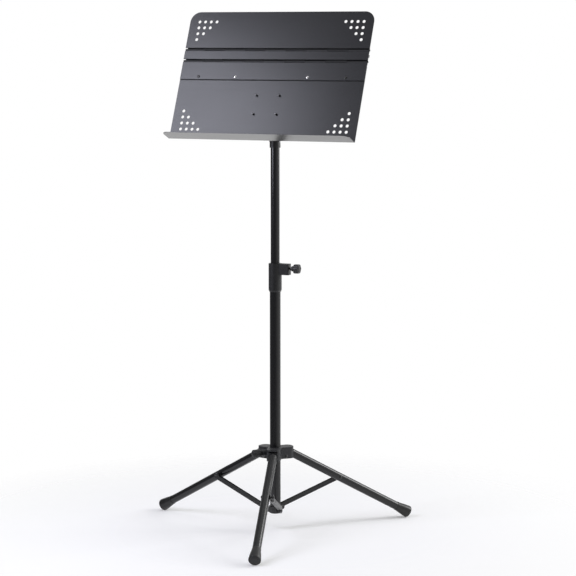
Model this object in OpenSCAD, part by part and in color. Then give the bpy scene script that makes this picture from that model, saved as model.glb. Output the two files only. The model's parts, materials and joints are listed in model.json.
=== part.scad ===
// Folding music stand: a sheet-steel desk with a fold-down upper panel, on a telescoping
// mast, on a tripod whose braces meet at a bracket at the foot of the mast.
// The origin is the point of the floor under the mast. The reader stands at -Y. Millimetres.

/* [Desk] */
// Width of the desk
desk_w = 470; // [420:5:500]
// Height of the desk, along its face
desk_h = 320; // [310:5:350]
// Thickness of the sheet steel
sheet_t = 1.2; // [1:0.1:1.4]
// Lean of the desk, in degrees back from upright
desk_lean = 23; // [10:1:40]
// Depth of the ledge that holds the music
ledge_d = 44; // [30:1:55]
// Outer radius of the bend between the ledge and the panel
bend_r = 3; // [2:0.5:5]
// Radius of the ledge's front corners
ledge_corner_r = 16; // [5:1:25]
// Radius of the desk's top corners
corner_r = 25; // [10:1:35]
// Diameter of the corner holes
hole_d = 7.5; // [5:0.5:9]
// Spacing of the corner holes
hole_pitch = 15; // [13:1:17]
// Distance from an edge to the first hole
hole_edge = 25; // [20:1:30]

/* [Desk hinges] */
// Height of the lower hinge on the desk's face
fold_v = 196.5; // [190:0.5:200]
// Distance between the two hinges
fold_gap = 28.2; // [26:0.2:32]
// Half the slot that a hinge lies in
slot_half = 3.7; // [3.6:0.1:4.2]
// Radius of a hinge knuckle
knuckle_r = 2.4; // [2.4:0.1:2.8]
// Number of knuckles along each hinge
knuckle_n = 9; // [5:2:15]
// Radius of a hinge rod
rod_r = 1.2; // [1:0.1:1.4]
// Lower edge of the strip that is riveted over the lower panel
strip_v = 150; // [145:1:154]
// Height of the row of rivets
rivet_v = 156.5; // [156:0.5:165]
// Distance of the inner rivets from the middle
inner_rivet_x = 92; // [85:1:100]
// Distance of the outer rivets from the middle
outer_rivet_x = 187; // [175:1:200]

/* [Tilt head] */
// Height of the tilt pivot
tilt_z = 990; // [960:5:1020]
// Distance from the desk's face to the tilt pivot
standoff = 53; // [40:1:60]
// Height of the bracket's centre on the desk's face
bracket_v = 88; // [80:1:100]
// Spacing of the desk screws, across and up
screw_pitch = [58, 46];
// Radius of the tilt bolt
bolt_r = 4; // [3:0.5:5]
// Half the width of the tilt head's tongue
tongue_half = 13; // [10:0.5:15]
// Thickness of a bracket ear
ear_t = 3; // [2:0.5:4]

/* [Mast] */
// Outer radius of the lower tube
lower_r = 12.7; // [12:0.1:13]
// Outer radius of the upper tube
upper_r = 10.5; // [10:0.1:10.6]
// Wall of the lower tube
lower_wall = 1.4; // [1:0.1:1.5]
// Wall of the upper tube
upper_wall = 1.5; // [1:0.1:2]
// Lower end of the upper tube, at this height setting
upper_z = 405; // [350:5:430]
// Lower end of the tilt head's socket
socket_z = 910; // [880:5:920]

/* [Height clamp] */
// Lower end of the clamp
clamp_z = 571.5; // [560:0.5:600]
// Length of the clamp
clamp_h = 67; // [60:1:75]
// Outer radius of the clamp
clamp_r = 15.5; // [15:0.5:17]
// Reach of the clamp's lug from the mast's axis
lug_reach = 37.5; // [34:0.5:40]
// Height of the lug
lug_h = 26; // [22:1:30]
// Width of the lug
lug_w = 17; // [14:1:20]
// Direction of the lug, in degrees from the reader's side
lug_az = 90; // [0:5:355]

/* [Tripod] */
// Direction of the front leg, in degrees from the reader's side
front_az = 17; // [0:1:119]
// Angle of an open leg from upright
open_angle = 61; // [55:1:64]
// Distance of the leg pivots and of the lower pins from the mast's axis
pivot_r = 22; // [22:0.5:24]
// Distance from a leg pivot to the leg's axis
leg_off = 14.4; // [14:0.1:15]
// Distance along the leg from the pivot to the brace rivet
mid_dist = 157; // [140:1:170]
// Distance along the leg from the pivot to the rim of the foot
rim_dist = 366.5; // [320:0.5:400]
// Outer radius of a leg tube
leg_r = 10; // [9:0.1:10]
// Wall of a leg tube
leg_wall = 1.3; // [1:0.1:1.5]
// Radius of a foot at its rim
foot_r = 14.6; // [13:0.1:16]
// Length of a rubber foot
foot_len = 38; // [30:1:45]

/* [Hub] */
// Height of the hub
hub_h = 27.5; // [26:0.5:30]
// Outer radius of the ring around the mast
ring_r = 15.6; // [15:0.1:15.8]
// Reach of a hub fork from the mast's axis
fork_reach = 44; // [40:1:48]
// Half the outer width of a fork
fork_half = 16.2; // [15.5:0.1:17]
// Direction of the hub knob, in degrees from the reader's side
hub_knob_az = -43; // [-60:1:-30]

/* [Braces] */
// Height of a brace channel
brace_h = 10; // [8:0.5:10]
// Width of a brace channel
brace_w = 8; // [7.5:0.1:8.5]
// Thickness of a brace channel's steel
brace_t = 1.2; // [1:0.1:1.5]
// Distance from a pin to the channel's axis, at either end
brace_crank = 4.6; // [0:0.1:5]
// Radius of the eye at each end of a brace
eye_r = 6.5; // [5.5:0.1:6.5]

/* [Hidden] */
$fn = 64;

FRONT = 0;
RIGHT = 1;
LEFT = 2;

paint = [0.13, 0.13, 0.15];
plastic = [0.09, 0.09, 0.10];
rubber = [0.05, 0.05, 0.05];
bright = [0.75, 0.75, 0.78];
zinc = [0.45, 0.45, 0.48];
black_steel = [0.07, 0.07, 0.07];

run_gap = 0.06;       // radial gap of a turning or sliding fit
seat_gap = 0.02;      // radial gap of a fixed fit
face_gap = 0.3;       // gap between faces that move past each other

// Desk, in its own frame: x across, z up the face, and the face at y = 0 with the back at +y.
root_y = -(standoff * cos(desk_lean) + bracket_v * sin(desk_lean));
root_z = tilt_z + standoff * sin(desk_lean) - bracket_v * cos(desk_lean);
upper_fold_v = fold_v + fold_gap;
hinge_y = 2.2;
leaf_lap = 6;
knuckle_len = desk_w / knuckle_n;
lower_panel_top = fold_v - 12.5;
cover_lap = 8.5;
cover_end = 2.5;
cover_y = hinge_y + knuckle_r + 0.4;
rivet_r = 2.4;
screw_r = 2.5;
ear_x = tongue_half + 1.5;
bracket_t = 2.5;
bracket_y = sheet_t + bracket_t;

// Mast and clamp.
lower_bore = lower_r - lower_wall;
upper_bore = upper_r - upper_wall;
tube_z = 45;
tube_top = clamp_z + 34;
clamp_top = clamp_z + clamp_h;
screw_z = clamp_top - 11;
m6_r = 3;
shoe_r = 5;
shoe_len = 6;
nut_r = 5.2;

// Tripod. The leg pivot, the brace rivet and the lower pin make an isosceles triangle, so that
// the hub slides straight along the mast as the legs fold.
link_len = sqrt(mid_dist * mid_dist + leg_off * leg_off);
link_angle = open_angle + atan(leg_off / mid_dist);
rim_round = 3;
pivot_z = rim_dist * cos(open_angle) + (foot_r - rim_round - leg_off) * sin(open_angle) + rim_round;
lower_z = pivot_z - 2 * link_len * cos(link_angle);
leg_start = 12.6;
pin_r = 2.5;
hub_z = pivot_z - 5.2;
hub_top = hub_z + hub_h;
slot_w = leg_r + 0.6;
roof_t = 4;
hub_screw_z = hub_z + 15;
boss_r = 8;
boss_reach = 35.5;

// Braces lie beside the legs, and straddle the ears of the lower bracket.
brace_s = leg_r + 0.4;
ear_s = brace_s + brace_w / 2 - 1.5;
ear_w = 3;
brace_tip = brace_s + brace_w;

// ---- helpers ----

// Desk frame to world.
module on_desk() translate([0, root_y, root_z]) rotate([-desk_lean, 0, 0]) children();

// A plate in the desk's plane, from an outline in x and height.
module face_plate(front, t) translate([0, front + t, 0]) rotate([90, 0, 0]) linear_extrude(t) children();

// A slab from x0 to x1, from an outline in y and z.
module slab(x0, x1) translate([x0, 0, 0]) rotate([90, 0, 90]) linear_extrude(x1 - x0) children();

// A cylinder along x.
module rod_x(x0, x1, r) translate([x0, 0, 0]) rotate([0, 90, 0]) cylinder(h = x1 - x0, r = r);

// A spherical cap on z = 0.
module dome(r, h) {
    ball_r = (r * r + h * h) / (2 * h);
    intersection() {
        translate([0, 0, h - ball_r]) sphere(r = ball_r);
        cylinder(h = h, r = r);
    }
}

// Frame of arm k: x sideways, y outward from the mast, z up.
module arm(k) rotate([0, 0, front_az + 120 * k]) mirror([0, 1, 0]) children();

// Frame of an open leg: origin on its pivot, y along the leg, z square to it.
module leg_frame(k) arm(k) translate([0, pivot_r, pivot_z]) rotate([open_angle - 90, 0, 0]) children();

// Frame of a brace: origin on its lower pin, y towards the brace rivet.
module brace_frame(k) arm(k) translate([0, pivot_r, lower_z]) rotate([90 - link_angle, 0, 0]) children();

// Frame of a radial screw: z outward, in direction az, at height h.
module radial(az, h) translate([0, 0, h]) rotate([0, 0, az]) rotate([90, 0, 0]) children();

// A tube along z.
module tube(h, r, bore) {
    difference() {
        cylinder(h = h, r = r);
        translate([0, 0, -1]) cylinder(h = h + 2, r = bore);
    }
}

// ---- desk ----

// Triangle of ten holes in a corner: side is -1 or 1, up is 1 from the bottom and -1 from the top.
module corner_holes(side, v, up) {
    for (j = [0 : 3], i = [0 : 3 - j]) {
        translate([side * (desk_w / 2 - hole_edge - i * hole_pitch), v + up * j * hole_pitch])
            circle(d = hole_d);
    }
}

// Sheet with square corners.
module sheet_2d(v0, v1) translate([-desk_w / 2, v0]) square([desk_w, v1 - v0]);

// Every second knuckle of a hinge, from the first one given.
module knuckles(v, first) {
    for (k = [first : 2 : knuckle_n - 1]) {
        translate([-desk_w / 2 + k * knuckle_len + face_gap / 2, hinge_y, v])
            rod_x(0, knuckle_len - face_gap, knuckle_r);
    }
}

// Leaves that join a sheet's edge to its knuckles; up is 1 where the sheet is above the hinge.
module leaves(v, first, up) {
    reach = slot_half + leaf_lap;
    for (k = [first : 2 : knuckle_n - 1]) {
        translate([-desk_w / 2 + k * knuckle_len + face_gap / 2, 0, up > 0 ? v : v - reach])
            cube([knuckle_len - face_gap, sheet_t, reach]);
    }
}

module rod_bore(v) translate([0, hinge_y, v]) rod_x(-desk_w / 2 - 1, desk_w / 2 + 1, rod_r + run_gap);

module hinge_rod(v) on_desk() translate([0, hinge_y, v]) rod_x(-desk_w / 2 + 1, desk_w / 2 - 1, rod_r);

module upper_panel() {
    v0 = upper_fold_v + slot_half;
    color(paint) on_desk() difference() {
        union() {
            face_plate(-sheet_t, sheet_t) difference() {
                union() {
                    sheet_2d(v0, desk_h - corner_r);
                    translate([-desk_w / 2 + corner_r, v0])
                        square([desk_w - 2 * corner_r, desk_h - v0]);
                    for (side = [-1, 1])
                        translate([side * (desk_w / 2 - corner_r), desk_h - corner_r]) circle(r = corner_r);
                }
                for (side = [-1, 1]) corner_holes(side, desk_h - hole_edge, -1);
            }
            knuckles(upper_fold_v, 1);
            leaves(upper_fold_v, 1, 1);
        }
        rod_bore(upper_fold_v);
    }
}

// Band between the hinges, with a cover strip behind both hinges that is also their stop.
module hinge_band() {
    mid = (fold_v + upper_fold_v) / 2;
    web_half = 3;
    color(paint) on_desk() difference() {
        union() {
            face_plate(-sheet_t, sheet_t) sheet_2d(fold_v + slot_half, upper_fold_v - slot_half);
            face_plate(0, cover_y) sheet_2d(mid - web_half, mid + web_half);
            face_plate(cover_y, sheet_t) translate([cover_end - desk_w / 2, fold_v - cover_lap])
                square([desk_w - 2 * cover_end, fold_gap + 2 * cover_lap]);
            knuckles(fold_v, 1);
            leaves(fold_v, 1, 1);
            knuckles(upper_fold_v, 0);
            leaves(upper_fold_v, 0, -1);
        }
        rod_bore(fold_v);
        rod_bore(upper_fold_v);
    }
}

module rivet_places(x) for (side = [-1, 1]) translate([side * x, 0, rivet_v]) children();

module rivet_holes() {
    for (x = [inner_rivet_x, outer_rivet_x]) rivet_places(x) rotate([90, 0, 0])
        cylinder(h = 10, r = rivet_r + seat_gap, center = true);
}

module screw_places() {
    for (sx = [-1, 1], sz = [-1, 1])
        translate([sx * screw_pitch[0] / 2, 0, bracket_v + sz * screw_pitch[1] / 2]) children();
}

module hinge_strip() {
    color(paint) on_desk() difference() {
        union() {
            face_plate(-sheet_t, sheet_t) sheet_2d(strip_v, fold_v - slot_half);
            knuckles(fold_v, 0);
            leaves(fold_v, 0, -1);
        }
        rod_bore(fold_v);
        rivet_holes();
    }
}

module upper_hinge_rod() color(zinc) hinge_rod(upper_fold_v);
module lower_hinge_rod() color(zinc) hinge_rod(fold_v);

// Panel and ledge are one bent sheet.
module lower_panel() {
    bend_y = sheet_t - bend_r;
    color(paint) on_desk() {
        difference() {
            union() {
                face_plate(0, sheet_t) difference() {
                    sheet_2d(bend_r, lower_panel_top);
                    for (side = [-1, 1]) corner_holes(side, hole_edge, 1);
                }
                intersection() {
                    translate([0, bend_y, bend_r]) difference() {
                        rod_x(-desk_w / 2, desk_w / 2, bend_r);
                        rod_x(-desk_w / 2 - 1, desk_w / 2 + 1, bend_r - sheet_t);
                    }
                    translate([-desk_w / 2, bend_y, 0]) cube([desk_w, bend_r, bend_r]);
                }
                linear_extrude(sheet_t) {
                    translate([-desk_w / 2, ledge_corner_r - ledge_d])
                        square([desk_w, ledge_d - ledge_corner_r + bend_y]);
                    translate([ledge_corner_r - desk_w / 2, -ledge_d])
                        square([desk_w - 2 * ledge_corner_r, ledge_corner_r + 1]);
                    for (side = [-1, 1])
                        translate([side * (desk_w / 2 - ledge_corner_r), ledge_corner_r - ledge_d])
                            circle(r = ledge_corner_r);
                }
            }
            rivet_holes();
            screw_places() rotate([90, 0, 0]) cylinder(h = 10, r = screw_r + seat_gap, center = true);
        }
    }
}

// Two round-headed rivets through the strip and the lower panel.
module rivet_pair(x) {
    head_r = 3.6;
    head_h = 1.4;
    on_desk() rivet_places(x) {
        translate([0, -sheet_t, 0]) rotate([90, 0, 0]) dome(head_r, head_h);
        translate([0, sheet_t, 0]) rotate([90, 0, 0]) cylinder(h = 2 * sheet_t, r = rivet_r);
        translate([0, sheet_t, 0]) rotate([-90, 0, 0]) dome(head_r, head_h);
    }
}

module inner_rivets() color(bright) rivet_pair(inner_rivet_x);
module outer_rivets() color(black_steel) rivet_pair(outer_rivet_x);

// Button-head screws that hold the bracket.
module desk_screws() {
    color(black_steel) on_desk() screw_places() {
        rotate([90, 0, 0]) dome(4.2, 2.2);
        rotate([-90, 0, 0]) cylinder(h = bracket_y + 6, r = screw_r);
    }
}

module desk_nuts() {
    color(zinc) on_desk() screw_places() translate([0, bracket_y, 0]) rotate([-90, 0, 0]) difference() {
        cylinder(h = 4, r = 4.6, $fn = 6);
        translate([0, 0, -1]) cylinder(h = 6, r = screw_r + seat_gap, $fn = 48);
    }
}

// Plate with two ears that carry the tilt bolt.
module desk_bracket() {
    plate_half = [38, 32];
    ear_root = 26;
    ear_end = 13;
    color(paint) on_desk() difference() {
        union() {
            face_plate(sheet_t, bracket_t)
                translate([-plate_half[0], bracket_v - plate_half[1]]) square(2 * plate_half);
            for (x = [-ear_x - ear_t, ear_x]) slab(x, x + ear_t) {
                polygon([
                    [sheet_t + 1, bracket_v - ear_root], [standoff, bracket_v - ear_end],
                    [standoff, bracket_v + ear_end], [sheet_t + 1, bracket_v + ear_root]
                ]);
                translate([standoff, bracket_v]) circle(r = ear_end);
            }
        }
        translate([0, standoff, bracket_v]) rod_x(-30, 30, bolt_r + seat_gap);
        screw_places() rotate([90, 0, 0]) cylinder(h = 12, r = screw_r + seat_gap, center = true);
    }
}

// ---- tilt head ----

// Socket on the upper tube, with a tongue between the bracket's ears.
module tilt_head() {
    socket_h = 52;
    tongue_r = 12;
    color(plastic) difference() {
        union() {
            translate([0, 0, socket_z]) cylinder(h = socket_h, r = lower_r);
            slab(-tongue_half, tongue_half) {
                translate([-tongue_r, socket_z + socket_h - 10])
                    square([2 * tongue_r, tilt_z - socket_z - socket_h + 10]);
                translate([0, tilt_z]) circle(r = tongue_r);
            }
        }
        translate([0, 0, socket_z - 1]) cylinder(h = 37, r = upper_r + seat_gap);
        translate([0, 0, tilt_z]) rod_x(-30, 30, bolt_r + run_gap);
        translate([0, 0, socket_z + 16]) rod_x(-30, 30, pin_r + seat_gap);
    }
}

// Coach bolt: round head outside the left ear, thread through the knob.
module tilt_bolt() {
    color(zinc) on_desk() translate([0, standoff, bracket_v]) {
        rod_x(-ear_x - ear_t, ear_x + ear_t + 14, bolt_r);
        translate([-ear_x - ear_t, 0, 0]) rotate([0, -90, 0]) dome(9, 4);
    }
}

// Hand knob with lobes around it, on an axis along z from its seat.
module lobed_knob(r, h, neck_r, neck_h, lobes, bore) {
    lobe_r = r * 0.26;
    core_r = r - lobe_r * 0.8;
    cap_h = 1.2;
    difference() {
        union() {
            cylinder(h = neck_h + 1, r = neck_r);
            translate([0, 0, neck_h]) linear_extrude(h) {
                circle(r = core_r);
                for (k = [0 : lobes - 1]) rotate((k + 0.5) * 360 / lobes) translate([r - lobe_r, 0])
                    circle(r = lobe_r);
            }
            translate([0, 0, neck_h + 1]) cylinder(h = h - 1 + cap_h, r = core_r - 1.5);
        }
        translate([0, 0, -1]) cylinder(h = neck_h + h - 2, r = bore);
    }
}

module tilt_knob() {
    color(plastic) on_desk() translate([ear_x + ear_t + face_gap, standoff, bracket_v]) rotate([0, 90, 0])
        lobed_knob(17, 12, 10, 6, 5, bolt_r + run_gap);
}

module tilt_washers() {
    washer_t = ear_x - tongue_half - 0.2;
    color(plastic) on_desk() translate([0, standoff, bracket_v])
        for (x = [-ear_x, ear_x - washer_t]) difference() {
            rod_x(x, x + washer_t, 11);
            rod_x(x - 1, x + washer_t + 1, bolt_r + seat_gap);
        }
}

// Cross pin that locks the tilt head to the upper tube.
module head_pin() {
    color(zinc) translate([0, 0, socket_z + 16]) {
        rod_x(-lower_r - 0.4, lower_r + 0.4, pin_r);
        translate([lower_r + 0.4, 0, 0]) rotate([0, 90, 0]) dome(4, 1.4);
        translate([-lower_r - 0.4, 0, 0]) rotate([0, -90, 0]) dome(4, 1.4);
    }
}

// ---- mast ----

module upper_tube() {
    top = socket_z + 35;
    color(paint) difference() {
        translate([0, 0, upper_z]) tube(top - upper_z, upper_r, upper_bore);
        translate([0, 0, socket_z + 16]) rod_x(-30, 30, pin_r + seat_gap);
    }
}

// Plastic cup on the lower end of the upper tube, which guides it in the lower tube.
module guide_bush() {
    floor_t = 5;
    color(plastic) translate([0, 0, upper_z - floor_t]) difference() {
        cylinder(h = floor_t + 25, r = lower_bore - run_gap);
        translate([0, 0, floor_t - face_gap]) cylinder(h = 30, r = upper_r + run_gap);
        translate([0, 0, -1]) cylinder(h = 10, r = 6);
    }
}

// Plastic sleeve in the top of the lower tube.
module clamp_liner() {
    liner_h = 35;
    color(plastic) translate([0, 0, tube_top - liner_h]) tube(liner_h, lower_bore - seat_gap, upper_r + run_gap);
}

module lower_tube() color(paint) translate([0, 0, tube_z]) tube(tube_top - tube_z, lower_r, lower_bore);

module tube_plug() {
    color(plastic) {
        translate([0, 0, tube_z - 4]) cylinder(h = 4, r = lower_r);
        translate([0, 0, tube_z]) cylinder(h = 12, r = lower_bore - seat_gap);
    }
}

// ---- height clamp ----

// Sleeve over the top of the lower tube, with a lug for the clamp screw.
module height_clamp() {
    chamfer_h = 5;
    lug_z = clamp_top - lug_h;
    color(plastic) difference() {
        union() {
            translate([0, 0, clamp_z + chamfer_h]) cylinder(h = clamp_h - chamfer_h, r = clamp_r);
            translate([0, 0, clamp_z]) rotate_extrude() polygon([
                [0, 0], [lower_r + 1, 0], [clamp_r, chamfer_h], [0, chamfer_h]
            ]);
            rotate([0, 0, lug_az]) translate([0, 0, lug_z]) linear_extrude(lug_h) {
                translate([-lug_w / 2, 2 - lug_reach]) square([lug_w, lug_reach - 2]);
                translate([2 - lug_w / 2, -lug_reach]) square([lug_w - 4, 4]);
                for (side = [-1, 1]) translate([side * (lug_w / 2 - 2), 2 - lug_reach]) circle(r = 2);
            }
        }
        translate([0, 0, clamp_z - 1]) cylinder(h = tube_top - clamp_z + 1, r = lower_r + seat_gap);
        translate([0, 0, clamp_z]) cylinder(h = clamp_h + 1, r = upper_r + run_gap);
        radial(lug_az, screw_z) {
            cylinder(h = 60, r = m6_r + run_gap);
            cylinder(h = 20, r = shoe_r + run_gap);
            translate([0, 0, lug_reach - 5.5]) cylinder(h = 10, r = nut_r + seat_gap);
        }
        // Pocket in the underside of the lug, which lightens it.
        rotate([0, 0, lug_az]) translate([-lug_w / 2 + 3, -lug_reach + 6, lug_z - 1])
            cube([lug_w - 6, 14, 7]);
    }
}

module round_nut(az, h, reach) {
    radial(az, h) translate([0, 0, reach - 5.5]) difference() {
        cylinder(h = 5.5, r = nut_r);
        translate([0, 0, -1]) cylinder(h = 8, r = m6_r + run_gap);
    }
}

module clamp_nut() color(black_steel) round_nut(lug_az, screw_z, lug_reach);

// Pad that the screw presses onto the tube, which starts at reach.
module pressure_shoe(az, h, reach) {
    radial(az, h) translate([0, 0, reach]) cylinder(h = shoe_len, r = shoe_r);
}

module clamp_shoe() color(plastic) pressure_shoe(lug_az, screw_z, upper_r + 0.2);

module clamp_screw() {
    tip = upper_r + 0.2 + shoe_len + 0.05;
    color(black_steel) radial(lug_az, screw_z) translate([0, 0, tip]) cylinder(h = 57 - tip, r = m6_r);
}

module clamp_knob() {
    color(plastic) radial(lug_az, screw_z) translate([0, 0, lug_reach + 5.5])
        lobed_knob(11.5, 13, 6.5, 6.5, 6, m6_r + seat_gap);
}

// ---- foot of the mast ----

// Ring on the tube with three ears that lie beside the mast.
module lower_bracket() {
    ring_z = tube_z - 2;
    ring_h = 15;
    ear_half = 6.5;
    color(paint) difference() {
        union() {
            translate([0, 0, ring_z]) cylinder(h = ring_h, r = ring_r);
            for (k = [FRONT : LEFT]) arm(k) slab(ear_s, ear_s + ear_w) {
                translate([-4, lower_z - ear_half]) square([pivot_r + 4, 2 * ear_half]);
                translate([pivot_r, lower_z]) circle(r = ear_half);
            }
        }
        translate([0, 0, ring_z - 1]) cylinder(h = ring_h + 2, r = lower_r + seat_gap);
        for (k = [FRONT : LEFT]) arm(k) translate([0, pivot_r, lower_z]) rod_x(0, 30, pin_r + seat_gap);
    }
}

// Pin along x with a domed head at each end.
module headed_pin(x0, x1, r, head_r) {
    rod_x(x0, x1, r);
    translate([x1, 0, 0]) rotate([0, 90, 0]) dome(head_r, 1.6);
    translate([x0, 0, 0]) rotate([0, -90, 0]) dome(head_r, 1.6);
}

module lower_pins() {
    color(black_steel) for (k = [FRONT : LEFT]) arm(k) translate([0, pivot_r, lower_z])
        headed_pin(brace_s - face_gap, brace_tip + face_gap, pin_r, 4);
}

// ---- hub ----

// Plan of a fork, before its slot is cut.
module fork_plan() {
    round_r = 12;
    translate([-fork_half, 0]) square([2 * fork_half, fork_reach - round_r]);
    translate([round_r - fork_half, 0]) square([2 * (fork_half - round_r), fork_reach]);
    for (side = [-1, 1]) translate([side * (fork_half - round_r), fork_reach - round_r]) circle(r = round_r);
}

// Slider that carries the three legs in forks, and a boss for the hub knob.
module hub() {
    color(plastic) difference() {
        union() {
            translate([0, 0, hub_z]) linear_extrude(hub_h) {
                circle(r = ring_r);
                for (k = [FRONT : LEFT]) rotate(front_az + 120 * k) mirror([0, 1]) fork_plan();
            }
            radial(hub_knob_az, hub_screw_z) translate([0, 0, lower_r + 1])
                cylinder(h = boss_reach - lower_r - 1, r = boss_r);
        }
        for (k = [FRONT : LEFT]) difference() {
            arm(k) translate([-slot_w, 0, hub_z - 1])
                cube([2 * slot_w, fork_reach + 1, hub_h - roof_t + 1]);
            translate([0, 0, hub_z - 2]) cylinder(h = hub_h + 4, r = ring_r);
        }
        translate([0, 0, hub_z - 1]) cylinder(h = hub_h + 2, r = lower_r + run_gap);
        for (k = [FRONT : LEFT]) arm(k) translate([0, pivot_r, pivot_z]) rod_x(-30, 30, pin_r + seat_gap);
        radial(hub_knob_az, hub_screw_z) {
            cylinder(h = 60, r = m6_r + run_gap);
            cylinder(h = 22, r = shoe_r + run_gap);
            translate([0, 0, boss_reach - 5.5]) cylinder(h = 10, r = nut_r + seat_gap);
        }
    }
}

module hub_pins() {
    color(black_steel) for (k = [FRONT : LEFT]) arm(k) translate([0, pivot_r, pivot_z])
        headed_pin(-fork_half, fork_half, pin_r, 4);
}

module hub_nut() color(black_steel) round_nut(hub_knob_az, hub_screw_z, boss_reach);

module hub_shoe() color(plastic) pressure_shoe(hub_knob_az, hub_screw_z, lower_r + 0.2);

module hub_screw() {
    tip = lower_r + 0.2 + shoe_len + 0.05;
    color(black_steel) radial(hub_knob_az, hub_screw_z) translate([0, 0, tip]) cylinder(h = 52 - tip, r = m6_r);
}

// Barrel-shaped knob with shallow flutes.
module hub_knob() {
    knob_r = 9.3;
    knob_len = 18;
    flutes = 10;
    color(plastic) radial(hub_knob_az, hub_screw_z) translate([0, 0, boss_reach + 1]) difference() {
        union() {
            cylinder(h = 3, r = 6.5);
            translate([0, 0, 2]) cylinder(h = knob_len, r = knob_r);
            translate([0, 0, 2 + knob_len]) dome(knob_r, 3);
        }
        translate([0, 0, -1]) cylinder(h = 17, r = m6_r + seat_gap);
        for (k = [0 : flutes - 1]) rotate(k * 360 / flutes) translate([knob_r + 1.1, 0, 5])
            cylinder(h = 30, r = 1.7);
    }
}

// ---- legs ----

// Leg tube, crossed by the hole for the brace rivet.
module leg(k) {
    tube_len = rim_dist - 5 - leg_start;
    color(paint) leg_frame(k) difference() {
        translate([0, leg_start, leg_off]) rotate([-90, 0, 0]) tube(tube_len, leg_r, leg_r - leg_wall);
        translate([0, mid_dist, leg_off]) rod_x(-20, 20, pin_r + seat_gap);
    }
}

// Plastic end piece: a plug in the tube, and an eye that hangs below it on the hub pin.
module leg_end(k) {
    half_w = slot_w - 0.3;
    inner_r = 5;
    color(plastic) leg_frame(k) difference() {
        union() {
            slab(-half_w, half_w) {
                circle(r = inner_r);
                polygon([
                    [-4.5, 2], [-4.5, 12], [0, 18], [leg_start, leg_off + leg_r - 0.5],
                    [leg_start, leg_off - leg_r + 0.5], [4, -3]
                ]);
            }
            translate([0, leg_start - 1, leg_off]) rotate([-90, 0, 0])
                cylinder(h = 31, r = leg_r - leg_wall - seat_gap);
        }
        rod_x(-20, 20, pin_r + run_gap);
    }
}

// Flared rubber foot with a rounded rim.
module foot(k) {
    start = rim_dist + rim_round - foot_len;
    bore = leg_r + seat_gap;
    lip = 0.6;
    tube_end = rim_dist - 5;
    color(rubber) leg_frame(k) translate([0, 0, leg_off]) rotate([-90, 0, 0]) rotate_extrude() {
        polygon([
            [bore, start], [bore + lip, start], [bore + 2.8, start + foot_len * 0.45],
            [foot_r, rim_dist], [foot_r - rim_round, rim_dist + rim_round],
            [0, rim_dist + rim_round + 1.5], [0, tube_end], [bore, tube_end]
        ]);
        translate([foot_r - rim_round, rim_dist]) circle(r = rim_round);
    }
}

// ---- braces ----

// Outline of a brace flange: a bar between two eyes.
module flange_2d() {
    tilt = atan(2 * brace_crank / link_len);
    translate([0, brace_crank]) rotate(-tilt) translate([0, -brace_h / 2])
        square([link_len / cos(tilt), brace_h]);
    for (y = [0, link_len]) translate([y, 0]) circle(r = eye_r);
}

// Steel channel, open on its upper side.
module brace(k) {
    web_from = 8;
    tilt = atan(2 * brace_crank / link_len);
    color(paint) brace_frame(k) difference() {
        union() {
            slab(brace_s, brace_s + brace_t) flange_2d();
            slab(brace_tip - brace_t, brace_tip) flange_2d();
            slab(brace_s, brace_tip) translate([0, brace_crank]) rotate(-tilt)
                translate([web_from, -brace_h / 2]) square([link_len / cos(tilt) - web_from, brace_t]);
        }
        for (y = [0, link_len]) translate([0, y, 0]) rod_x(0, 40, pin_r + run_gap);
    }
}

// Rivet through the leg and the brace beside it.
module brace_rivet(k) {
    color(black_steel) leg_frame(k) translate([0, mid_dist, leg_off])
        headed_pin(-leg_r - 0.2, brace_tip + face_gap, pin_r, 4);
}

module front_leg() leg(FRONT);
module right_leg() leg(RIGHT);
module left_leg() leg(LEFT);
module front_leg_end() leg_end(FRONT);
module right_leg_end() leg_end(RIGHT);
module left_leg_end() leg_end(LEFT);
module front_foot() foot(FRONT);
module right_foot() foot(RIGHT);
module left_foot() foot(LEFT);
module front_brace() brace(FRONT);
module right_brace() brace(RIGHT);
module left_brace() brace(LEFT);
module front_brace_rivet() brace_rivet(FRONT);
module right_brace_rivet() brace_rivet(RIGHT);
module left_brace_rivet() brace_rivet(LEFT);

upper_panel();
hinge_band();
hinge_strip();
upper_hinge_rod();
lower_hinge_rod();
lower_panel();
inner_rivets();
outer_rivets();
desk_screws();
desk_nuts();
desk_bracket();
tilt_head();
tilt_bolt();
tilt_knob();
tilt_washers();
head_pin();
upper_tube();
guide_bush();
height_clamp();
clamp_liner();
clamp_nut();
clamp_shoe();
clamp_screw();
clamp_knob();
lower_tube();
tube_plug();
lower_bracket();
lower_pins();
hub();
hub_pins();
hub_nut();
hub_shoe();
hub_screw();
hub_knob();
front_leg();
right_leg();
left_leg();
front_leg_end();
right_leg_end();
left_leg_end();
front_foot();
right_foot();
left_foot();
front_brace();
right_brace();
left_brace();
front_brace_rivet();
right_brace_rivet();
left_brace_rivet();
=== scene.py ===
"""Looks of a folding music stand: powder-coated desk, black painted tubes, moulded plastic and rubber.

The CAD nodes keep their shapes. This script rounds their edges and gives them materials, and it builds anew
the three rubber feet, the three knobs and the four desk screws. Lengths are in metres, and in the outlines
and the constants marked so in millimetres.
The stand's mast is the Z axis, the reader stands at -Y, and the floor is Z = 0.
"""

import json
import math

import bmesh
import bpy
from mathutils import Matrix, Vector


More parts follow.
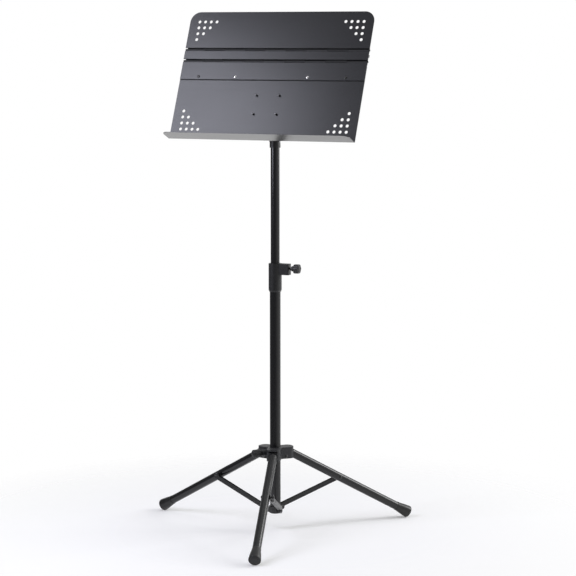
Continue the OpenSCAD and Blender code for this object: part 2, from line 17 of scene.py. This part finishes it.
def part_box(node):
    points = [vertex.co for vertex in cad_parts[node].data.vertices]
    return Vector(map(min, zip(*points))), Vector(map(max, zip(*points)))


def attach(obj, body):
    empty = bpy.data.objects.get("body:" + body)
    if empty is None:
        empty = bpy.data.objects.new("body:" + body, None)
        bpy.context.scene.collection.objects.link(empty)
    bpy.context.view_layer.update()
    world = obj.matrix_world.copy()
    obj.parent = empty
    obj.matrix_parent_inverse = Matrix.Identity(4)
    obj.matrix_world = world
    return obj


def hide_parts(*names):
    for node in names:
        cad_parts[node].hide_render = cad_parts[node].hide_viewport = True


MM = 0.001
UP = Vector((0, 0, 1))

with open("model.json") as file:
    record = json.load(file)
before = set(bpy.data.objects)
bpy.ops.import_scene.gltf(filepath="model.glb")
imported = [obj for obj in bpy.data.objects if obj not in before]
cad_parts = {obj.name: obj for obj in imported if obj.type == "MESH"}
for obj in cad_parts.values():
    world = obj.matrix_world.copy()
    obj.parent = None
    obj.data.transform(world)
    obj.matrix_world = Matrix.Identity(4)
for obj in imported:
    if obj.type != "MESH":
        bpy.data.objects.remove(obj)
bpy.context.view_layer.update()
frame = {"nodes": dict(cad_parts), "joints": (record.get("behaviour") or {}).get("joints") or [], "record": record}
NODES = frame["nodes"]
SLOT_OF = {part["node"]: part["material_slot"] for part in frame["record"]["subparts"]}

# Each leg's azimuth in degrees, counted from the reader's side.
LEG_AZIMUTHS = {"front": 17, "right": 137, "left": 257}


def joint(name):
    """The record's joint of that name."""
    return next(j for j in frame["joints"] if j["name"] == name)


def middle(node):
    """Centre of a CAD node's box."""
    low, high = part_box(node)
    return (low + high) / 2


PIVOT_Z = joint("right_leg_hinge")["pos_m"][2]
HUB_SCREW_Z = middle("hub_screw").z


# ---- materials ----


class Surface:
    """A principled material, with short calls for the nodes that vary it."""

    def __init__(self, name):
        self.material = bpy.data.materials.new(name)
        self.material.use_nodes = True
        self.tree = self.material.node_tree
        self.shader = self.tree.nodes["Principled BSDF"]
        self.place = self.tree.nodes.new("ShaderNodeTexCoord")

    def node(self, kind, values=(), links=(), **settings):
        """A new node with its settings, its socket values, and links into its sockets."""
        made = self.tree.nodes.new(kind)
        for key, value in settings.items():
            setattr(made, key, value)
        for key, value in dict(values).items():
            made.inputs[key].default_value = value
        for key, source in dict(links).items():
            self.tree.links.new(source, made.inputs[key])
        return made

    def noise(self, scale, detail=2.0, stretch=(1, 1, 1), roughness=0.5):
        """Noise from 0 to 1 in the object's own space; stretch below 1 draws it out along that axis."""
        spread = self.node(
            "ShaderNodeMapping", {"Scale": stretch}, {"Vector": self.place.outputs["Object"]}
        )
        made = self.node(
            "ShaderNodeTexNoise",
            {"Scale": scale, "Detail": detail, "Roughness": roughness},
            {"Vector": spread.outputs["Vector"]},
        )
        return made.outputs["Fac"]

    def cells(self, scale):
        """Distance to the nearest cell centre, for pebbled grain."""
        made = self.node("ShaderNodeTexVoronoi", {"Scale": scale}, {"Vector": self.place.outputs["Object"]})
        return made.outputs["Distance"]

    def spread(self, source, low, high, to_low, to_high):
        """source, rescaled from low..high to to_low..to_high and clamped."""
        made = self.node(
            "ShaderNodeMapRange",
            {"From Min": low, "From Max": high, "To Min": to_low, "To Max": to_high},
            {"Value": source},
        )
        return made.outputs["Result"]

    def times(self, a, b):
        made = self.node("ShaderNodeMath", links={0: a, 1: b}, operation="MULTIPLY")
        return made.outputs["Value"]

    def blend(self, factor, a, b):
        """Colour a where factor is 0 and colour b where it is 1; a may be a colour or a socket."""
        made = self.node("ShaderNodeMix", links={"Factor": factor}, data_type="RGBA")
        for slot, colour in (("A", a), ("B", b)):
            socket = next(s for s in made.inputs if s.name == slot and s.type == "RGBA")
            if isinstance(colour, bpy.types.NodeSocket):
                self.tree.links.new(colour, socket)
            else:
                socket.default_value = (*colour, 1)
        return next(s for s in made.outputs if s.type == "RGBA")

    def facing_up(self, low=0.55, high=0.95):
        """1 on faces that look up at rest, and 0 on walls and undersides."""
        parts = self.node("ShaderNodeSeparateXYZ", links={"Vector": self.place.outputs["Normal"]})
        return self.spread(parts.outputs["Z"], low, high, 0, 1)

    def height(self):
        parts = self.node("ShaderNodeSeparateXYZ", links={"Vector": self.place.outputs["Object"]})
        return parts.outputs["Z"]

    def relief(self, *layers):
        """Bumps from (height, distance, strength) layers, one over the other, into the shader."""
        normal = None
        for height, distance, strength in layers:
            made = self.node(
                "ShaderNodeBump", {"Distance": distance, "Strength": strength}, {"Height": height}
            )
            if normal is not None:
                self.tree.links.new(normal, made.inputs["Normal"])
            normal = made.outputs["Normal"]
        self.tree.links.new(normal, self.shader.inputs["Normal"])

    def colour(self, source):
        self.tree.links.new(source, self.shader.inputs["Base Color"])

    def gloss(self, source):
        self.tree.links.new(source, self.shader.inputs["Roughness"])

    def constants(self, **values):
        for key, value in values.items():
            self.shader.inputs[key.replace("_", " ").title().replace("Ior", "IOR")].default_value = value

    def along(self, origin, axis):
        """Distance of the surface point from origin, measured along an axis of the part at rest."""
        offset = self.node(
            "ShaderNodeVectorMath",
            {1: origin},
            {0: self.place.outputs["Object"]},
            operation="SUBTRACT",
        )
        made = self.node(
            "ShaderNodeVectorMath", {1: axis}, {0: offset.outputs["Vector"]}, operation="DOT_PRODUCT"
        )
        return made.outputs["Value"]

    def band(self, position, low, high, depth):
        """depth between low and high, 0 outside, with narrow soft flanks."""
        flank = 0.25 * MM
        rise = self.spread(position, low - flank, low + flank, 0, 1)
        fall = self.spread(position, high - flank, high + flank, depth, 0)
        return self.times(rise, fall)

    def most(self, sources):
        """The largest of several values."""
        top = sources[0]
        for source in sources[1:]:
            larger = self.node("ShaderNodeMath", links={0: top, 1: source}, operation="MAXIMUM")
            top = larger.outputs["Value"]
        return top


DUST = (0.30, 0.29, 0.27)
# Near-black colour painted on the desk where its hinge slots and the seam under the strip lie in shade.
PAINTED_SHADE = (0.0022, 0.0022, 0.0024)

# Shaded bands beside each hinge line of the desk: from, to (mm up the desk) and how dark.
SLOT_BANDS = ((-0.2, 4.3, 1.0), (-2.6, -0.2, 0.45), (-4.0, -2.6, 0.95))
# The shaded seam under the riveted strip's lower edge, in the same terms.
SEAM_BAND = (-2.1, -0.1, 0.95)


def dusted(surface, colour, amount):
    """colour with a thin veil of dust on what looks up."""
    patches = surface.spread(surface.noise(45, 5), 0.42, 0.72, 0, amount)
    return surface.blend(surface.times(surface.facing_up(), patches), colour, DUST)


def slot_shade(surface):
    """How deep in shade a point of the desk lies: two hinge slots, and the seam under the strip."""
    lower = Vector(joint("lower_desk_fold")["pos_m"])
    upper = Vector(joint("upper_desk_fold")["pos_m"])
    up = (upper - lower).normalized()
    shades = []
    for hinge in (lower, upper):
        v = surface.along(hinge, up)
        for low, high, depth in SLOT_BANDS:
            shades.append(surface.band(v, low * MM, high * MM, depth))
    strip_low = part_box("hinge_strip")[0]
    strip_edge = surface.along(Vector((0, strip_low.y, strip_low.z)), up)
    low, high, depth = SEAM_BAND
    shades.append(surface.band(strip_edge, low * MM, high * MM, depth))
    return surface.most(shades)


def powder_coat():
    """Satin powder coat: fine orange peel, faint grain across the sheet, painted shade in the hinge slots and
    under the riveted strip.
    """
    s = Surface("powder_coat")
    speckle = s.spread(s.noise(1500, 3), 0.35, 0.68, 0, 1)
    grain = s.noise(420, 3, stretch=(0.03, 1, 1))
    tone = s.blend(speckle, (0.0145, 0.0147, 0.0168), (0.0205, 0.0208, 0.0236))
    # Painted shade: the desk's tone darkens to near black in the hinge slots and under the riveted strip, and it
    # is made matt there too.
    shade = slot_shade(s)
    s.colour(s.blend(shade, tone, PAINTED_SHADE))
    cloudy = s.spread(s.noise(9, 2), 0.3, 0.7, 0.288, 0.306)
    streaked = s.node(
        "ShaderNodeMath", links={0: cloudy, 1: s.spread(grain, 0.3, 0.7, -0.012, 0.012)}, operation="ADD"
    ).outputs["Value"]
    matt = s.node("ShaderNodeMix", {"B": 0.92}, {"Factor": shade, "A": streaked})
    s.gloss(matt.outputs["Result"])
    s.relief((s.noise(620, 2), 0.00006, 0.20), (grain, 0.00002, 0.15))
    s.constants(ior=1.5)
    return s.material


def tube_paint():
    """Semi-gloss black enamel, with faint rubbing along the tubes."""
    s = Surface("tube_paint")
    rub = s.noise(260, 3, stretch=(1, 1, 0.05))
    cloud = s.noise(18, 3)
    speckle = s.spread(s.noise(900, 3), 0.4, 0.7, 0, 1)
    tone = s.blend(speckle, (0.0085, 0.0085, 0.0095), (0.0130, 0.0130, 0.0140))
    s.colour(dusted(s, tone, 0.03))
    s.gloss(s.spread(s.times(rub, cloud), 0.12, 0.42, 0.16, 0.25))
    s.relief((s.noise(420, 2), 0.00004, 0.15), (rub, 0.00002, 0.12))
    s.constants(ior=1.5)
    return s.material


def brace_paint():
    """Satin black on pressed steel."""
    s = Surface("brace_paint")
    tone = s.blend(s.spread(s.noise(800, 3), 0.35, 0.7, 0, 1), (0.010, 0.010, 0.011), (0.017, 0.017, 0.018))
    s.colour(dusted(s, tone, 0.10))
    s.gloss(s.spread(s.noise(60, 3), 0.3, 0.7, 0.32, 0.44))
    s.relief((s.noise(700, 2), 0.00008, 0.30))
    s.constants(ior=1.5)
    return s.material


def moulded(name, body, lift, rough, grain):
    """Injection-moulded plastic with a spark-eroded grain."""
    s = Surface(name)
    tone = s.blend(s.spread(s.noise(500, 4), 0.35, 0.7, 0, 1), body, lift)
    s.colour(dusted(s, tone, 0.12))
    s.gloss(s.spread(s.noise(90, 3), 0.3, 0.7, rough - 0.05, rough + 0.06))
    s.relief((s.cells(grain), 0.00010, 0.30), (s.noise(160, 2), 0.00020, 0.12))
    s.constants(ior=1.48)
    return s.material


def rubber():
    """Black rubber, matt and a little dusty towards the floor."""
    s = Surface("rubber")
    speckle = s.spread(s.noise(300, 4), 0.35, 0.7, 0, 1)
    tone = s.blend(speckle, (0.0080, 0.0080, 0.0083), (0.0140, 0.0140, 0.0143))
    floor_dirt = s.times(
        s.spread(s.height(), 0.0, 0.012, 1, 0), s.spread(s.noise(220, 4), 0.45, 0.75, 0, 0.35)
    )
    s.colour(s.blend(floor_dirt, dusted(s, tone, 0.10), DUST))
    s.gloss(s.spread(s.noise(120, 3), 0.3, 0.7, 0.30, 0.42))
    s.relief((s.noise(1300, 3), 0.00008, 0.35))
    s.constants(ior=1.5)
    return s.material


def bright_steel():
    """Polished nickel plate with hairline scratches."""
    s = Surface("bright_steel")
    s.colour(s.blend(s.spread(s.noise(240, 4), 0.4, 0.7, 0, 1), (0.80, 0.79, 0.78), (0.66, 0.65, 0.65)))
    s.gloss(s.spread(s.noise(900, 3, stretch=(1, 0.1, 1)), 0.3, 0.7, 0.12, 0.24))
    s.relief((s.noise(1400, 2, stretch=(1, 0.08, 1)), 0.00003, 0.2))
    s.constants(metallic=1.0)
    return s.material


def black_steel():
    """Black oxide on steel, slightly glossy and worn a little brown."""
    s = Surface("black_steel")
    wear = s.spread(s.noise(420, 4), 0.4, 0.7, 0, 1)
    s.colour(s.blend(wear, (0.0080, 0.0078, 0.0080), (0.0170, 0.0160, 0.0155)))
    s.gloss(s.spread(s.noise(600, 3), 0.3, 0.7, 0.20, 0.34))
    s.relief((s.noise(1500, 3), 0.00003, 0.3))
    s.constants(ior=1.6)
    return s.material


def zinc():
    """Zinc plate, mottled and half matt."""
    s = Surface("zinc")
    s.colour(s.blend(s.spread(s.noise(380, 5), 0.35, 0.7, 0, 1), (0.55, 0.55, 0.56), (0.38, 0.38, 0.39)))
    s.gloss(s.spread(s.noise(500, 4), 0.3, 0.7, 0.28, 0.46))
    s.relief((s.noise(1100, 3), 0.00004, 0.3))
    s.constants(metallic=1.0)
    return s.material


FINISH = {
    "powder_coat": powder_coat(),
    "tube_paint": tube_paint(),
    "brace_paint": brace_paint(),
    "hub_plastic": moulded("hub_plastic", (0.020, 0.0205, 0.023), (0.030, 0.031, 0.034), 0.40, 1500),
    "black_plastic": moulded("black_plastic", (0.0105, 0.0105, 0.0115), (0.017, 0.017, 0.018), 0.40, 1800),
    "knob_plastic": moulded("knob_plastic", (0.012, 0.012, 0.013), (0.020, 0.020, 0.021), 0.44, 1300),
    "rubber": rubber(),
    "bright_steel": bright_steel(),
    "black_steel": black_steel(),
    "zinc": zinc(),
}


# ---- CAD nodes: rounded edges and finish ----

EDGE = {
    "powder_coat": 0.35 * MM,
    "tube_paint": 0.35 * MM,
    "brace_paint": 0.30 * MM,
    "hub_plastic": 1.2 * MM,
    "black_plastic": 0.8 * MM,
    "knob_plastic": 0.8 * MM,
    "rubber": 0.8 * MM,
    "bright_steel": 0.2 * MM,
    "black_steel": 0.25 * MM,
    "zinc": 0.25 * MM,
}


def soften(obj, width):
    """Joins the imported mesh's split corners, merges its flat triangles and rounds its sharp edges."""
    weld = obj.modifiers.new("join_corners", "WELD")
    weld.merge_threshold = 0.004 * MM
    flat = obj.modifiers.new("merge_flats", "DECIMATE")
    flat.decimate_type = "DISSOLVE"
    flat.angle_limit = math.radians(0.4)
    edge = obj.modifiers.new("round_edges", "BEVEL")
    edge.width = width
    edge.segments = 3
    edge.limit_method = "ANGLE"
    edge.angle_limit = math.radians(38)
    edge.use_clamp_overlap = True
    edge.harden_normals = False
    smooth = obj.modifiers.new("even_shading", "WEIGHTED_NORMAL")
    smooth.keep_sharp = False
    smooth.weight = 80


def dress(obj, slot):
    """Gives a piece the finish of a material slot."""
    obj.data.materials.clear()
    obj.data.materials.append(FINISH[slot])


for name, obj in NODES.items():
    dress(obj, SLOT_OF[name])
    soften(obj, EDGE[SLOT_OF[name]])


# ---- turned and moulded parts ----

# A leg's angle from the vertical, its pivot's distance from the mast, and its axis above the pivot (mm).
LEG_SLOPE = math.radians(61)
PIVOT_REACH = 22
LEG_LIFT = 14.4
HUB_KNOB_AZIMUTH = -43

# Outlines in mm: radius, distance along the axis, and how far the corner is eased.
FOOT = (
    (0, 361.5, 0), (10.02, 361.5, 0.3), (10.02, 331.5, 0.15), (10.55, 331.5, 0.25),
    (10.9, 338.0, 3.0), (12.75, 349.0, 4.5), (14.0, 360.0, 4.5), (14.6, 366.5, 2.0),
    (13.9, 368.7, 1.0), (12.6, 369.45, 0.7), (11.0, 369.6, 0.5), (10.4, 368.9, 0.3),
    (9.9, 369.9, 0.4), (6.0, 370.7, 2.0), (0, 371.0, 0),
)
CLAMP_KNOB = (
    (0, 59.5, 0), (3.02, 59.5, 0.2), (3.02, 43.0, 0.2), (6.2, 43.0, 0.6), (6.45, 46.5, 1.2),
    (6.3, 49.0, 0.5), (10.9, 49.6, 0.6), (11.5, 50.6, 0.6), (11.5, 61.4, 0.8), (10.6, 62.4, 0.6),
    (7.6, 62.5, 0.4), (7.2, 63.5, 0.5), (3.0, 63.65, 2.0), (0, 63.7, 0),
)
TILT_KNOB = (
    (0, 32.8, 0), (4.06, 32.8, 0.2), (4.06, 17.8, 0.2), (9.6, 17.8, 0.8), (9.9, 21.0, 1.5),
    (9.7, 23.6, 0.5), (15.6, 23.9, 1.0), (17.0, 25.8, 1.5), (17.0, 33.5, 2.2), (14.6, 35.7, 1.5),
    (11.6, 35.8, 0.4), (11.2, 36.8, 0.5), (4.0, 36.95, 3.0), (0, 37.0, 0),
)
HUB_KNOB = (
    (0, 52.5, 0), (3.02, 52.5, 0.2), (3.02, 36.5, 0.2), (6.3, 36.5, 0.5), (6.45, 38.3, 0.3),
    (8.3, 38.6, 0.6), (9.25, 39.6, 0.6), (9.3, 40.8, 0.3), (9.3, 54.0, 1.5), (9.0, 56.8, 1.2),
    (6.6, 58.7, 1.8), (3.0, 59.4, 1.5), (0, 59.5, 0),
)
DESK_SCREW = (
    (0, -9.7, 0), (2.3, -9.7, 0.2), (2.5, -9.2, 0.2), (2.5, 0.0, 0.1), (4.2, 0.0, 0.1),
    (4.15, 0.45, 0.2), (3.5, 1.3, 0.7), (2.5, 1.95, 0.7), (1.7, 2.18, 0.2), (1.55, 2.15, 0.1),
    (1.5, 1.0, 0.1), (0, 0.8, 0),
)

# The hub knob's flutes: how many, how deep, and where they begin.
FLUTES = 10
FLUTE_DEPTH = 0.085
FLUTE_FROM = 40.5
FLUTE_MIN_R = 8.4

# The desk screws, in mm: half their spacing, the height of their middle and of the lower hinge up the
# desk, the desk's face in front of the hinge, and the reach and depth of the hexagon socket.
SCREW_X = 29
SCREW_V = 23
SCREW_MIDDLE_V = 88
HINGE_V = 196.5
FACE_Y = 2.2
SOCKET_R = 1.7
SOCKET_FROM = 0.5


def rounded(points, steps=4):
    """An outline of (radius, distance, reach) corners in mm, each eased over its reach on either side."""
    path = [Vector(points[0][:2])]
    for before, here, after in zip(points, points[1:], points[2:]):
        corner = Vector(here[:2])
        legs = [Vector(other[:2]) - corner for other in (before, after)]
        ends = [corner + leg * min(here[2] / leg.length, 0.49) for leg in legs]
        if here[2] == 0:
            path.append(corner)
            continue
        for step in range(steps + 1):
            t = step / steps
            path.append(ends[0] * (1 - t) ** 2 + corner * 2 * t * (1 - t) + ends[1] * t ** 2)
    path.append(Vector(points[-1][:2]))
    return path


def turned(bm, origin, axis, outline, shape=None, steps=96):
    """Adds a closed piece turned about an axis. The outline starts and ends on the axis; shape(r, d, turn)
    gives the radius at a turn, for lobes and flutes."""
    axis = Vector(axis).normalized()
    across = UP.cross(axis).normalized() if abs(axis.z) < 0.99 else Vector((1, 0, 0))
    other = axis.cross(across)
    path = rounded(outline)
    rings = []
    for point in path[1:-1]:
        ring = []
        for k in range(steps):
            turn = 2 * math.pi * k / steps
            r = (shape(point.x, point.y, turn) if shape else point.x) * MM
            spoke = across * math.cos(turn) + other * math.sin(turn)
            ring.append(bm.verts.new(origin + axis * point.y * MM + spoke * r))
        rings.append(ring)
    first = bm.verts.new(origin + axis * path[0].y * MM)
    last = bm.verts.new(origin + axis * path[-1].y * MM)
    for k in range(steps):
        n = (k + 1) % steps
        bm.faces.new((first, rings[0][n], rings[0][k]))
        bm.faces.new((last, rings[-1][k], rings[-1][n]))
        for inner, outer in zip(rings, rings[1:]):
            bm.faces.new((inner[k], inner[n], outer[n], outer[k]))


def piece(name, bm, node, body, crease=50):
    """Turns a bmesh into a piece that stands for a CAD node and moves with its body."""
    bmesh.ops.recalc_face_normals(bm, faces=bm.faces)
    mesh = bpy.data.meshes.new(name)
    bm.to_mesh(mesh)
    bm.free()
    mesh.shade_smooth()
    mesh.set_sharp_from_angle(angle=math.radians(crease))
    obj = bpy.data.objects.new(name, mesh)
    bpy.context.scene.collection.objects.link(obj)
    dress(obj, SLOT_OF[node])
    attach(obj, body)
    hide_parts(node)


def bearing(azimuth):
    """Level direction at an azimuth from the reader's side."""
    turn = math.radians(azimuth)
    return Vector((math.sin(turn), -math.cos(turn), 0))


def lobes(count, limit, core):
    """Radius law for a knob: count rounded lobes where the outline is wider than limit."""

    def law(r, d, turn):
        if r <= limit:
            return r
        swell = (0.5 + 0.5 * math.cos(count * turn)) ** 0.6
        return core * r + (1 - core) * r * swell

    return law


def build_feet():
    """Rubber feet: a lip on the tube, a smooth flare, a rounded rim and a slightly domed sole."""
    for side, azimuth in LEG_AZIMUTHS.items():
        out = bearing(azimuth)
        along = out * math.sin(LEG_SLOPE) - UP * math.cos(LEG_SLOPE)
        lift = out * math.cos(LEG_SLOPE) + UP * math.sin(LEG_SLOPE)
        origin = out * PIVOT_REACH * MM + UP * PIVOT_Z + lift * LEG_LIFT * MM
        bm = bmesh.new()
        turned(bm, origin, along, FOOT)
        piece(f"{side}_foot_rubber", bm, f"{side}_foot", f"{side}_leg")


def build_knobs():
    """The lobed clamp and tilt knobs, and the fluted barrel knob of the hub."""

    def flutes(r, d, turn):
        depth = FLUTE_DEPTH if d > FLUTE_FROM and r > FLUTE_MIN_R else 0
        return r * (1 - depth * max(0.0, math.cos(FLUTES * turn)) ** 1.5)

    bm = bmesh.new()
    turned(bm, UP * middle("clamp_knob").z, (1, 0, 0), CLAMP_KNOB, lobes(6, 7.7, 0.88))
    piece("clamp_knob_moulding", bm, "clamp_knob", "clamp_knob")

    bm = bmesh.new()
    turned(bm, UP * middle("tilt_knob").z, (1, 0, 0), TILT_KNOB, lobes(5, 11.8, 0.80))
    piece("tilt_knob_moulding", bm, "tilt_knob", "tilt_knob")

    bm = bmesh.new()
    turned(bm, UP * HUB_SCREW_Z, bearing(HUB_KNOB_AZIMUTH), HUB_KNOB, flutes, steps=120)
    piece("hub_knob_moulding", bm, "hub_knob", "hub_knob")


def build_screws():
    """Four button-head screws in the desk, each with a hexagon socket."""
    hinge = Vector(joint("lower_desk_fold")["pos_m"])
    up = (Vector(joint("upper_desk_fold")["pos_m"]) - hinge).normalized()
    back = up.cross(Vector((-1, 0, 0))).normalized()
    centre = hinge - back * FACE_Y * MM - up * (HINGE_V - SCREW_MIDDLE_V) * MM

    def socket(r, d, turn):
        sixth = math.pi / 3
        bend = math.cos(sixth / 2) / math.cos((turn % sixth) - sixth / 2)
        return r * bend if r < SOCKET_R and d > SOCKET_FROM else r

    bm = bmesh.new()
    for x in (-SCREW_X, SCREW_X):
        for v in (-SCREW_V, SCREW_V):
            place = centre + Vector((x * MM, 0, 0)) + up * v * MM
            turned(bm, place, -back, DESK_SCREW, socket, steps=48)
    piece("desk_screw_heads", bm, "desk_screws", "desk", crease=35)


build_feet()
build_knobs()
build_screws()


# ---- camera ----

CAMERA_AZIMUTH = math.radians(24.575)
CAMERA_DISTANCE = 4.9086
CAMERA_HEIGHT = 1.1664
CAMERA_PITCH = math.radians(6.8126)
CAMERA_YAW = math.radians(-0.3522)
CAMERA_LENS = 131.354

camera_data = bpy.data.cameras.new("camera")
camera_data.sensor_width = 36.0
camera_data.lens = CAMERA_LENS
camera = bpy.data.objects.new("camera", camera_data)
bpy.context.scene.collection.objects.link(camera)
heading = Vector((-math.sin(CAMERA_AZIMUTH), math.cos(CAMERA_AZIMUTH), 0))
camera.location = -heading * CAMERA_DISTANCE + UP * CAMERA_HEIGHT
heading.rotate(Matrix.Rotation(CAMERA_YAW, 3, "Z"))
forward = heading * math.cos(CAMERA_PITCH) - UP * math.sin(CAMERA_PITCH)
sideways = forward.cross(UP).normalized()
camera.rotation_mode = "QUATERNION"
camera_axes = Matrix((sideways, sideways.cross(forward), -forward)).transposed()
camera.rotation_quaternion = camera_axes.to_quaternion()
bpy.context.scene.camera = camera


# ---- studio ----

KEY_TINT = (0.865, 0.875, 1.0)

# Where the floor begins to fade and where it is gone, from the mast.
FLOOR_FADE = (0.36, 0.95)


def softbox(name, azimuth, height, distance, width, tall, power, aim=(0, 0, 0.9), tint=(1, 1, 1)):
    """An area light at a bearing from the reader's side, which faces aim."""
    data = bpy.data.lights.new(name, "AREA")
    data.shape = "RECTANGLE"
    data.size = width
    data.size_y = tall
    data.energy = power
    data.color = tint
    light = bpy.data.objects.new(name, data)
    bpy.context.scene.collection.objects.link(light)
    turn = math.radians(azimuth)
    light.location = (distance * math.sin(turn), -distance * math.cos(turn), height)
    light.rotation_mode = "QUATERNION"
    light.rotation_quaternion = (Vector(aim) - light.location).to_track_quat("-Z", "Y")
    light.visible_camera = False


def around(tree, direction, low, high, to_low, to_high):
    """A world value that follows the view direction's part along a given direction."""
    where = tree.nodes.new("ShaderNodeTexCoord")
    toward = tree.nodes.new("ShaderNodeVectorMath")
    toward.operation = "DOT_PRODUCT"
    toward.inputs[1].default_value = direction
    tree.links.new(where.outputs["Generated"], toward.inputs[0])
    ramp = tree.nodes.new("ShaderNodeMapRange")
    ramp.interpolation_type = "SMOOTHSTEP"
    for key, value in (("From Min", low), ("From Max", high), ("To Min", to_low), ("To Max", to_high)):
        ramp.inputs[key].default_value = value
    tree.links.new(toward.outputs["Value"], ramp.inputs["Value"])
    return ramp.outputs["Result"]


def studio_light():
    """A tall key box at the reader's left, a box behind the right, and white walls that glow behind."""
    softbox("key", -39, 1.36, 1.2, 0.52, 1.22, 14.6, aim=(0, 0, 1.0), tint=KEY_TINT)
    softbox("rim", 128, 1.40, 2.1, 1.0, 1.2, 24, aim=(0, 0, 0.9))
    softbox("top", 0, 3.2, 0.3, 2.6, 2.6, 9, aim=(0, 0, 0))
    world = bpy.data.worlds.new("studio")
    bpy.context.scene.world = world
    world.use_nodes = True
    tree = world.node_tree
    sky = tree.nodes["Background"]
    sky.inputs["Color"].default_value = (1, 1, 1, 1)
    wall = around(tree, (0.62, 0.78, 0.0), -0.6, 0.9, 0.14, 0.80)
    ground = around(tree, (0.10, 0.99, 0.0), -0.3, 0.7, 0.55, 2.1)
    below = around(tree, (0.0, 0.0, -1.0), 0.15, 0.50, 0.0, 1.0)
    surround = tree.nodes.new("ShaderNodeMix")
    for key, source in (("Factor", below), ("A", wall), ("B", ground)):
        tree.links.new(source, surround.inputs[key])
    seen = tree.nodes.new("ShaderNodeLightPath")
    pick = tree.nodes.new("ShaderNodeMix")
    tree.links.new(seen.outputs["Is Camera Ray"], pick.inputs["Factor"])
    tree.links.new(surround.outputs["Result"], pick.inputs["A"])
    pick.inputs["B"].default_value = 1.0
    tree.links.new(pick.outputs["Result"], sky.inputs["Strength"])


def studio_floor():
    """A pale round floor that fades out into the white around it."""
    radius, rings, spokes = 3.2, 12, 64
    points = [(0, 0, 0)]
    faces = []
    for ring in range(1, rings + 1):
        r = radius * ring / rings
        for k in range(spokes):
            turn = 2 * math.pi * k / spokes
            points.append((r * math.cos(turn), r * math.sin(turn), 0))
    for k in range(spokes):
        faces.append((0, 1 + k, 1 + (k + 1) % spokes))
    for ring in range(1, rings):
        inner, outer = 1 + (ring - 1) * spokes, 1 + ring * spokes
        for k in range(spokes):
            n = (k + 1) % spokes
            faces.append((inner + k, outer + k, outer + n, inner + n))
    mesh = bpy.data.meshes.new("floor")
    mesh.from_pydata(points, [], faces)
    floor = bpy.data.objects.new("floor", mesh)
    bpy.context.scene.collection.objects.link(floor)

    s = Surface("floor")
    s.shader.inputs["Roughness"].default_value = 0.9
    s.shader.inputs["Specular IOR Level"].default_value = 0.2
    paper = s.blend(s.noise(3, 2), (0.80, 0.80, 0.81), (0.82, 0.82, 0.83))
    s.colour(paper)
    s.shader.inputs["Emission Color"].default_value = (1, 1, 1, 1)
    s.shader.inputs["Emission Strength"].default_value = 0.22
    out = next(n for n in s.tree.nodes if n.type == "OUTPUT_MATERIAL")
    distance = s.node(
        "ShaderNodeVectorMath", links={0: s.place.outputs["Object"]}, operation="LENGTH"
    ).outputs["Value"]
    fade = s.spread(distance, *FLOOR_FADE, 0, 1)
    clear = s.node("ShaderNodeBsdfTransparent")
    mix = s.node(
        "ShaderNodeMixShader",
        links={0: fade, 1: s.shader.outputs["BSDF"], 2: clear.outputs["BSDF"]},
    )
    s.tree.links.new(mix.outputs["Shader"], out.inputs["Surface"])
    mesh.materials.append(s.material)


studio_light()
studio_floor()
bpy.context.scene.view_settings.view_transform = "Standard"
